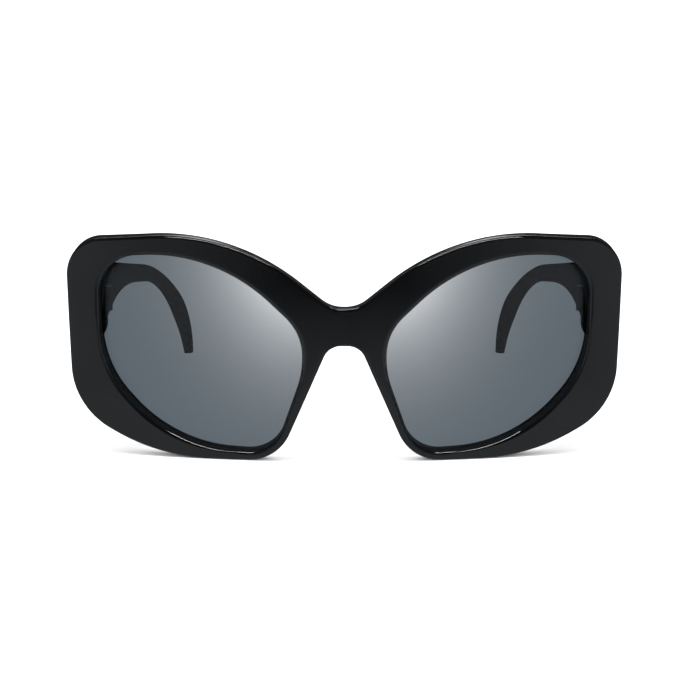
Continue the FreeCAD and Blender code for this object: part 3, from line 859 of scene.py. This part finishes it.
@dataclass
class FrontShell:
    """The domed front with its two openings and the lugs behind its outer corners."""

    JOWL = 3
    ENDPIECE = 4
    ON_PLANE = 1e-7

    face: Dome = Dome(230.0, 0.0)
    back: Dome = Dome(190.0, 4.3)
    outline_corners: tuple[Corner, ...] = (
        Corner(4.15, 32.4, 5.0),
        Corner(18.1, 0.0, 12.5),
        Corner(50.6, 0.0, 55.5),
        Corner(74.25, 12.45, 19.6),
        Corner(75.6, 58.85, 10.3),
        Corner(29.4, 62.9, 57.0),
        Corner(3.5, 42.6, 9.0),
    )
    rim_round: float = 0.8
    opening_start: Flat = (10.94, 28.2)
    opening_corners: tuple[Corner, ...] = (
        Corner(11.05, 23.8, 25.0),
        Corner(18.4, 1.9, 10.8),
        Corner(46.5, 2.6, 39.5),
        Corner(66.9, 23.9, 28.1),
        Corner(67.4, 55.7, 11.7),
        Corner(34.1, 57.55, 45.4),
        Corner(10.75, 35.4, 15.8),
    )
    opening_round: float = 1.2
    round_share: float = 0.5
    draft: float = 5.0
    draft_tries: int = 6
    spacing: float = 0.9
    seam_shares: Flat = (0.25, 0.75)
    round_steps: int = 5
    face_rows: int = 4
    lug_inner: float = 64.9
    lug_low: float = 29.3
    lug_top: float = 53.3
    lug_round: float = 2.0
    lug_low_round: float = 6.0
    lug_base: float = 15.0
    lug_land: float = 20.17
    lug_over: float = 2.5
    lug_inset: float = 0.03
    lug_spacing: float = 0.6
    flank_steps: int = 400
    flank_stride: int = 12
    land_side: float = 1.0
    land_margin: float = 0.05
    land_depth: float = 8.0
    sharp: float = 42.0
    finish: Finish = field(default_factory=PolishedAcetate)
    bed_finish: Finish = field(default_factory=RawAcetate)
    bed_lean: float = 0.4
    lens_centre: Flat = (39.5, 30.0)

    def __post_init__(self) -> None:
        """Draws the outline of the left half and its opening."""
        arch, bridge = self.outline_corners[0], self.outline_corners[-1]
        self.outline = Path((0.0, arch.z), self.outline_corners, (0.0, bridge.z))
        self.opening = Path(self.opening_start, self.opening_corners, self.opening_start)

    def wall(self, spot: Spot, dome: Dome, outwards: float = 0.0) -> Flat:
        """Finds where the opening's sloping wall meets a dome.

        Args:
            spot: Spot of the opening, in the plane of the foremost point.
            dome: The dome to meet.
            outwards: Distance outside the wall.

        Returns:
            The point across and up.
        """
        slope = math.tan(math.radians(self.draft))
        flat = spot.moved(outwards)
        for _ in range(self.draft_tries):
            flat = spot.moved(outwards - slope * dome.depth(*flat))
        return flat

    def columns(self) -> list[tuple[Spot, Spot, bool]]:
        """Pairs spots of the outline with spots of the opening, all round the left half.

        Returns:
            Outline spot, opening spot and whether the pair starts on the middle plane.
        """
        outer, inner = self.outline, self.opening
        once = inner.length
        upper = inner.marks[-1]
        seam_start, seam_end = (between(*upper, share) for share in self.seam_shares)
        anchors = [(0.0, seam_end), (outer.marks[0][1], once + inner.marks[0][1])]
        for mine, its in zip(outer.marks[1:-1], inner.marks[1:-1]):
            anchors += [(mine[0], once + its[0]), (mine[1], once + its[1])]
        anchors += [(outer.marks[-1][0], once + upper[0]), (outer.length, once + seam_start)]
        pairs = []
        for (a0, b0), (a1, b1) in zip(anchors, anchors[1:]):
            count = max(2, math.ceil(max(a1 - a0, b1 - b0) / self.spacing))
            for number in range(count):
                out, into = between((a0, b0), (a1, b1), number / count)
                pairs.append((outer.at(out), inner.at(into), False))
        pairs.append((outer.at(outer.length), inner.at(seam_start), False))
        top, low = outer.spots[-1].z - self.rim_round, outer.spots[0].z + self.rim_round
        count = math.ceil((top - low) / self.spacing)
        for number in range(1, count):
            share = number / count
            seam = Spot(0.0, between(top, low, share), 0.0, 1.0)
            pairs.append((seam, inner.at(between(seam_start, seam_end, share)), True))
        pairs.append((outer.at(0.0), inner.at(seam_end), False))
        return pairs

    def section(self, rim: Spot, hole: Spot, seam: bool) -> Ring:
        """Lays the points of one cut through the rim, from the opening round to the opening.

        Args:
            rim: Spot of the outline, or of the middle plane.
            hole: Spot of the opening.
            seam: Whether the cut ends on the middle plane.

        Returns:
            The points of the cut.
        """
        steps, rows = self.round_steps, self.face_rows
        edge = self.wall(hole, self.face)
        rear = self.wall(hole, self.back)
        corner = self.face.point(edge)
        inside = corner + (self.back.point(rear) - corner).normalized() * self.opening_round * MM
        target = (rim.x, rim.z) if seam else rim.moved(-self.rim_round)
        reach = min(self.round_share, self.opening_round / math.dist(edge, target))
        near = between(edge, target, reach)
        ring = rounding(inside, corner, self.face.point(near), steps)
        ring += [self.face.point(between(near, target, n / rows)) for n in range(1, rows)]
        outer_front = self.face.point((rim.x, rim.z))
        outer_back = self.back.point((rim.x, rim.z))
        if seam:
            last = 2 * steps + 1
            ring += [between(outer_front, outer_back, n / last) for n in range(last + 1)]
        else:
            down = Vector((0.0, self.rim_round * MM, 0.0))
            ring += rounding(self.face.point(target), outer_front, outer_front + down, steps)
            ring += rounding(outer_back - down, outer_back, self.back.point(target), steps)
        ring += [self.back.point(between(target, rear, n / rows)) for n in range(1, rows)]
        ring.append(self.back.point(rear))
        ring.append(ring[0].copy())
        return ring

    def lug(self) -> bpy.types.Object:
        """Models the left lug: an upright land that stays just inside the front's outline.

        Returns:
            The lug.
        """
        outer = self.outline
        low, high = outer.marks[self.JOWL][0], outer.marks[self.ENDPIECE][1]
        steps, stride = self.flank_steps, self.flank_stride
        walk = [low + (high - low) * n / steps for n in range(steps + 1)]
        flank = [s for s in map(outer.at, walk) if self.lug_low <= s.z <= self.lug_top]
        flank = [*flank[:-1:stride], flank[-1]]
        side = [s.moved(-self.lug_inset) for s in flank]
        first, last = side[0], side[-1]
        corners = (
            Corner(self.lug_inner, last[1], self.lug_round),
            Corner(self.lug_inner, first[1], self.lug_low_round),
        )
        inner = Path(last, corners, first)
        count = math.ceil(inner.length / self.lug_spacing)
        wall = [inner.at(inner.length * n / count) for n in range(1, count)]
        around = side + [(s.x, s.z) for s in wall]
        rows = []
        for depth in (self.lug_base, self.lug_land + self.lug_over):
            ring = [place(x, depth, z) for x, z in around]
            ring.append(ring[0].copy())
            rows.append(ring)
        piece = Bench.roll("front_lug", rows)
        Bench.close(piece, cap=True)
        return piece

    def land(self) -> bpy.types.Object:
        """Models the cutter that levels the lug and the rim behind the temple's end.

        Returns:
            The cutter.
        """
        side, margin = self.land_side, self.land_margin
        outside, back = self.outline_corners[self.ENDPIECE].x, self.lug_land + self.land_depth
        low = place(self.lug_inner - side, self.lug_land, self.lug_low - margin)
        high = place(outside + side, back, self.lug_top + margin)
        Bench.clear()
        bpy.ops.mesh.primitive_cube_add(size=1.0, location=(low + high) / 2, scale=high - low)
        cutter = bpy.context.object
        bpy.ops.object.transform_apply(location=True, rotation=True, scale=True)
        return cutter

    def open_middle(self, front: bpy.types.Object) -> None:
        """Deletes the faces on the middle plane, where the mirrored half joins on.

        Args:
            front: The left half.
        """
        Bench.edit(front)
        bpy.ops.mesh.select_mode(type="FACE")
        bpy.ops.object.mode_set(mode="OBJECT")
        middle = {v.index for v in front.data.vertices if abs(v.co.x) < self.ON_PLANE}
        for face in front.data.polygons:
            face.select = middle.issuperset(face.vertices)
        bpy.ops.object.mode_set(mode="EDIT")
        bpy.ops.mesh.delete(type="FACE")
        bpy.ops.object.mode_set(mode="OBJECT")

    def build(self) -> None:
        """Models the left half with its lug, mirrors it and dresses the whole."""
        front = Bench.roll("front_shell", [self.section(*pair) for pair in self.columns()])
        Bench.close(front)
        lug = self.lug()
        Bench.modify(front, "BOOLEAN", operation="UNION", solver="EXACT", object=lug)
        land = self.land()
        Bench.modify(front, "BOOLEAN", operation="DIFFERENCE", solver="EXACT", object=land)
        for tool in (lug, land):
            bpy.data.objects.remove(tool)
        self.open_middle(front)
        Bench.modify(front, "MIRROR", use_axis=(True, False, False), merge_threshold=Bench.MERGE)
        Bench.close(front)
        Bench.polish(front, self.sharp)
        self.finish.dress(front)
        self.dress_beds(front)
        settle(front, Body.FRONT, Slot.FRAME, "front_frame")

    def dress_beds(self, front: bpy.types.Object) -> None:
        """Puts the raw finish on the walls that face the middle of each lens.

        Args:
            front: The front.
        """
        front.data.materials.append(self.bed_finish.material())
        for face in front.data.polygons:
            x, depth, z = face.normal
            side = math.copysign(1.0, face.center.x)
            away_x = face.center.x - side * self.lens_centre[0] * MM
            away_z = face.center.z - self.lens_centre[1] * MM
            before_lug = face.center.y < place(0.0, self.lug_base, 0.0).y
            if before_lug and abs(depth) < self.bed_lean and x * away_x + z * away_z < 0:
                face.material_index = 1


@dataclass
class Lenses:
    """The two domed lenses, their edges held in the grooves."""

    shell: FrontShell
    face: Dome = Dome(193.2, 1.1)
    back: Dome = Dome(191.2, 3.1)
    grip: float = 0.75
    rings: int = 14
    around: int = 180
    sharp: float = 45.0
    finish: Finish = field(default_factory=SmokeLens)

    def surface(self, dome: Dome) -> list[Ring]:
        """Lays rings on one face of the left lens, from its middle to its edge.

        Args:
            dome: The face's dome.

        Returns:
            The rings.
        """
        path, centre = self.shell.opening, self.shell.lens_centre
        spots = [path.at(path.length * n / self.around) for n in range(self.around)]
        edge = [self.shell.wall(s, self.face, self.grip) for s in spots]
        rows = []
        for number in range(self.rings + 1):
            ring = [dome.point(between(centre, flat, number / self.rings)) for flat in edge]
            ring.append(ring[0].copy())
            rows.append(ring)
        return rows

    def build(self) -> None:
        """Models the left lens, mirrors it and dresses both."""
        rows = self.surface(self.face) + self.surface(self.back)[::-1]
        left = Bench.roll("lens_pane_left", rows)
        Bench.close(left)
        Bench.polish(left, self.sharp)
        for side, lens in Bench.pair(left, "lens_pane_right"):
            lens.visible_shadow = False
            self.finish.dress(lens)
            settle(lens, Body.FRONT, Slot.LENS, f"lens_{side.label}")


@dataclass
class Temples:
    """The temples: broad at the hinge, waisted, bent down behind the ear."""

    RING_POINTS = 7
    HALFWAY = (1, 4)
    ACROSS = 0.5
    LONGEST = 6.0

    root: float = 20.4
    top_start: float = 52.3
    top_corners: tuple[Corner, ...] = (
        Corner(110.6, 34.24, 80.0),
        Corner(137.4, 14.6, 28.0),
    )
    low_start: float = 30.3
    low_corners: tuple[Corner, ...] = (
        Corner(69.3, 36.45, 115.0),
        Corner(114.6, 28.5, 44.0),
        Corner(131.8, 7.2, 40.0),
    )
    back: float = 137.4
    tip: float = 2.5
    inner_x: float = 66.9
    outer_x: float = 73.5
    straight: float = 35.0
    inner_radius: float = 321.0
    outer_radius: float = 323.3
    edge: float = 0.75
    edge_steps: int = 4
    stations: int = 90
    sharp: float = 40.0
    finish: Finish = field(default_factory=PolishedAcetate)

    def inner(self, depth: float) -> float:
        """X of the inner face at a depth."""
        past = max(0.0, depth - self.straight)
        return self.inner_x - self.inner_radius + math.sqrt(self.inner_radius**2 - past**2)

    def outer(self, depth: float) -> float:
        """X of the outer face at a depth.

        Args:
            depth: Distance behind the front's foremost point.

        Returns:
            X, along the tangent from the root or on the curve behind it.
        """
        centre = self.inner_x - self.inner_radius
        across, along = self.outer_x - centre, self.root - self.straight
        turn = math.acos(self.outer_radius / math.hypot(across, along)) + math.atan2(along, across)
        touch = self.straight + self.outer_radius * math.sin(turn)
        if depth < touch:
            touch_x = centre + self.outer_radius * math.cos(turn)
            return between(self.outer_x, touch_x, (depth - self.root) / (touch - self.root))
        return centre + math.sqrt(self.outer_radius**2 - (depth - self.straight) ** 2)

    def rows(self) -> list[Ring]:
        """Lays rings across the left temple from the hinge to the tip.

        Returns:
            The rings, each with four corners and points half-way up its sides.
        """
        top = Path((self.root, self.top_start), self.top_corners, (self.back, 0.0))
        low = Path((self.root, self.low_start), self.low_corners, (self.back - self.tip, 0.0))
        rows = []
        for number in range(self.stations + 1):
            share = number / self.stations
            a, b = top.at(top.length * share), low.at(low.length * share)
            rise = [(a.x, a.z), ((a.x + b.x) / 2, (a.z + b.z) / 2), (b.x, b.z)]
            ring = [place(self.outer(d), d, z) for d, z in rise]
            ring += [place(self.inner(d), d, z) for d, z in reversed(rise)]
            ring.append(ring[0].copy())
            rows.append(ring)
        return rows

    def build(self) -> None:
        """Models the left temple, rounds its long edges, mirrors it and dresses both."""
        left = Bench.roll("temple_left_arm", self.rows())
        spots = range(len(left.data.vertices))
        corners = [spot for spot in spots if spot % self.RING_POINTS not in self.HALFWAY]
        left.vertex_groups.new(name="long_edges").add(corners, 1.0, "REPLACE")
        Bench.close(left, cap=True)
        self.round_edges(left)
        Bench.polish(left, self.sharp)
        for side, temple in Bench.pair(left, "temple_right_arm"):
            self.finish.dress(temple)
            settle(temple, Body.arm(side), Slot.FRAME, f"temple_{side.label}")

    def round_edges(self, piece: bpy.types.Object) -> None:
        """Bevels the four long edges.

        Args:
            piece: The temple, with its corners in a vertex group.
        """
        Bench.edit(piece)
        bpy.ops.mesh.select_mode(type="EDGE")
        bpy.ops.object.mode_set(mode="OBJECT")
        mesh = piece.data
        marked = {v.index for v in mesh.vertices if v.groups}
        for edge in mesh.edges:
            a, b = (mesh.vertices[v].co for v in edge.vertices)
            along = abs((a - b).normalized().x) < self.ACROSS
            short = (a - b).length < self.LONGEST * MM
            edge.select = along and short and marked.issuperset(edge.vertices)
        bpy.ops.object.mode_set(mode="EDIT")
        bpy.ops.mesh.bevel(
            offset=self.edge * MM,
            offset_type="OFFSET",
            segments=self.edge_steps,
            affect="EDGES",
            clamp_overlap=False,
        )
        bpy.ops.object.mode_set(mode="OBJECT")


@dataclass
class Fittings:
    """Nose pads, hinges and screws, smoothed from the solids, and the wires in the temples."""

    sharp: float = 32.0
    pad_finish: Finish = field(default_factory=PolishedAcetate)
    metal_finish: Finish = field(default_factory=BrushedSteel)

    def polished(self, node: str, name: str, body: Body, slot: Slot, finish: Finish) -> None:
        """Replaces a node by a copy with smooth rounds.

        Args:
            node: The CAD node.
            name: Name of the copy.
            body: The body that it moves with.
            slot: Its material slot.
            finish: What it is dressed in.
        """
        piece = Bench.copied(node, name)
        Bench.polish(piece, self.sharp)
        finish.dress(piece)
        settle(piece, body, slot, node)

    def build(self) -> None:
        """Smooths every fitting and dresses the wires."""
        pad, metal = self.pad_finish, self.metal_finish
        for side in Side:
            end, arm = side.label, Body.arm(side)
            for node, name, body, slot, finish in (
                ("nose_pad", "pad", Body.FRONT, Slot.PAD, pad),
                ("front_hinge", "hinge_plate", Body.FRONT, Slot.HINGE, metal),
                ("temple_hinge", "hinge_leaf", arm, Slot.HINGE, metal),
                ("hinge_screw", "screw", Body.FRONT, Slot.SCREW, metal),
            ):
                self.polished(f"{node}_{end}", f"{name}_{end}", body, slot, finish)
            metal.dress(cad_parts[f"core_wire_{end}"])


# Studio


@dataclass(frozen=True)
class TableTop(Finish):
    """A white table that keeps the soft shadow of what stands on it."""

    name: str = "white_table"
    paint: Colour = (0.8, 0.8, 0.8, 1)
    fade: Flat = (0.25, 0.9)
    glow: Flat = (0.03, 1.0)

    def shader(self, graph: Graph) -> Value:
        """White paint, which far off and through the lenses is plain white.

        Args:
            graph: The material's builder.

        Returns:
            The shader.
        """
        away = graph.length(graph.spot())
        glow = graph.ramp(away, self.fade, self.glow) * graph.rays("Camera")
        paint = graph.node("ShaderNodeBsdfDiffuse", sockets={"Color": self.paint})
        light = graph.node("ShaderNodeEmission", sockets={"Strength": glow})
        lit = graph.node("ShaderNodeAddShader", sockets={0: paint, 1: light})
        plain = graph.node("ShaderNodeEmission", sockets={"Strength": 1.0})
        return graph.mix_shader(graph.rays("Transmission"), lit, plain)


@dataclass(frozen=True)
class SoftBox:
    """A rectangular studio lamp."""

    name: str
    at: Triple
    aim: Triple
    size: Flat
    watts: float

    def build(self) -> None:
        """Adds the lamp and turns it to its aim."""
        Bench.clear()
        bpy.ops.object.light_add(type="AREA", location=self.at)
        lamp = bpy.context.object
        lamp.name = self.name
        lamp.visible_camera = False
        lamp.data.shape = "RECTANGLE"
        lamp.data.size, lamp.data.size_y = self.size
        lamp.data.energy = self.watts
        heading = Vector(self.aim) - Vector(self.at)
        lamp.rotation_euler = heading.to_track_quat("-Z", "Y").to_euler()


@dataclass
class Studio:
    """Table, lamps, room and camera."""

    finish: Finish = field(default_factory=TableTop)
    table_size: float = 6.0
    dome: float = 1.75
    plain: Colour = (1, 1, 1, 1)
    tint: Colour = (0.92, 0.99, 1.06, 1)
    shade: float = 0.075
    white: float = 0.56
    sides: Flat = (0.15, 0.70)
    below: Flat = (-0.36, -0.02)
    above: Flat = (0.15, 0.45)
    ceiling: float = 0.25
    behind: Flat = (-0.1, 0.5)
    rear: float = 0.3
    camera_at: Triple = (0.0, -0.6151, 0.1550)
    camera_pitch: float = 77.27
    lens: float = 108.1
    sensor: float = 36.0
    shift: float = 0.0081
    nearest: float = 0.01
    lamps: tuple[SoftBox, ...] = (
        SoftBox("top_strip", (0.0, -0.20, 0.9), (0.0, -0.06, 0.0), (0.7, 0.04), 6.5),
        SoftBox("back_box", (0.0, 0.30, 0.16), (0.0, -0.06, 0.06), (0.30, 0.06), 0.09),
    )

    def table(self) -> None:
        """Adds the table top; gloss shows the room's pale lower half in its place."""
        Bench.clear()
        bpy.ops.mesh.primitive_plane_add(size=self.table_size, location=(0.0, 0.0, 0.0))
        top = bpy.context.object
        top.name = "table_top"
        top.visible_glossy = False
        self.finish.dress(top)

    def world(self) -> None:
        """Makes the room: an even dome of light that gloss sees as dim, with pale sides."""
        world = bpy.data.worlds.new("studio_room")
        world.use_nodes = True
        bpy.context.scene.world = world
        graph = Graph(world.node_tree)
        direction = graph.node("ShaderNodeTexCoord", out="Generated")
        across, depth, height = (
            graph.node("ShaderNodeSeparateXYZ", sockets={"Vector": direction}, out=axis)
            for axis in "XYZ"
        )
        sides = graph.ramp(abs(across), self.sides, (self.shade, self.white))
        below = graph.ramp(height, self.below, (self.white, self.shade))
        above = graph.ramp(height, self.above, (1.0, self.ceiling))
        behind = graph.ramp(depth, self.behind, (1.0, self.rear))
        gloss = graph.rays("Glossy")
        room = (sides | below) * above * behind * gloss + self.dome * (1.0 - gloss)
        seen = graph.rays("Camera") | graph.rays("Transmission")
        strength = room * (1.0 - seen) + seen
        colour = graph.mix(gloss, self.plain, self.tint)
        light = graph.node("ShaderNodeBackground", sockets={"Color": colour, "Strength": strength})
        graph.surface(light, "ShaderNodeOutputWorld")

    def camera(self) -> None:
        """Adds the camera of the picture."""
        Bench.clear()
        bpy.ops.object.camera_add(
            location=self.camera_at, rotation=(math.radians(self.camera_pitch), 0.0, 0.0)
        )
        camera = bpy.context.object
        camera.name = "studio_camera"
        camera.data.lens = self.lens
        camera.data.sensor_width = self.sensor
        camera.data.shift_x = self.shift
        camera.data.clip_start = self.nearest
        bpy.context.scene.camera = camera

    def build(self) -> None:
        """Sets up the studio."""
        bpy.context.scene.view_settings.view_transform = "Standard"
        self.table()
        self.world()
        self.camera()
        for lamp in self.lamps:
            lamp.build()


def main() -> None:
    """Builds the pieces in order and sets up the studio."""
    logging.basicConfig(level=logging.INFO, format="%(name)s %(message)s")
    shell = FrontShell()
    shell.build()
    Lenses(shell).build()
    Temples().build()
    Fittings().build()
    Studio().build()
    Bench.clear()


if __name__ == "__main__":
    main()
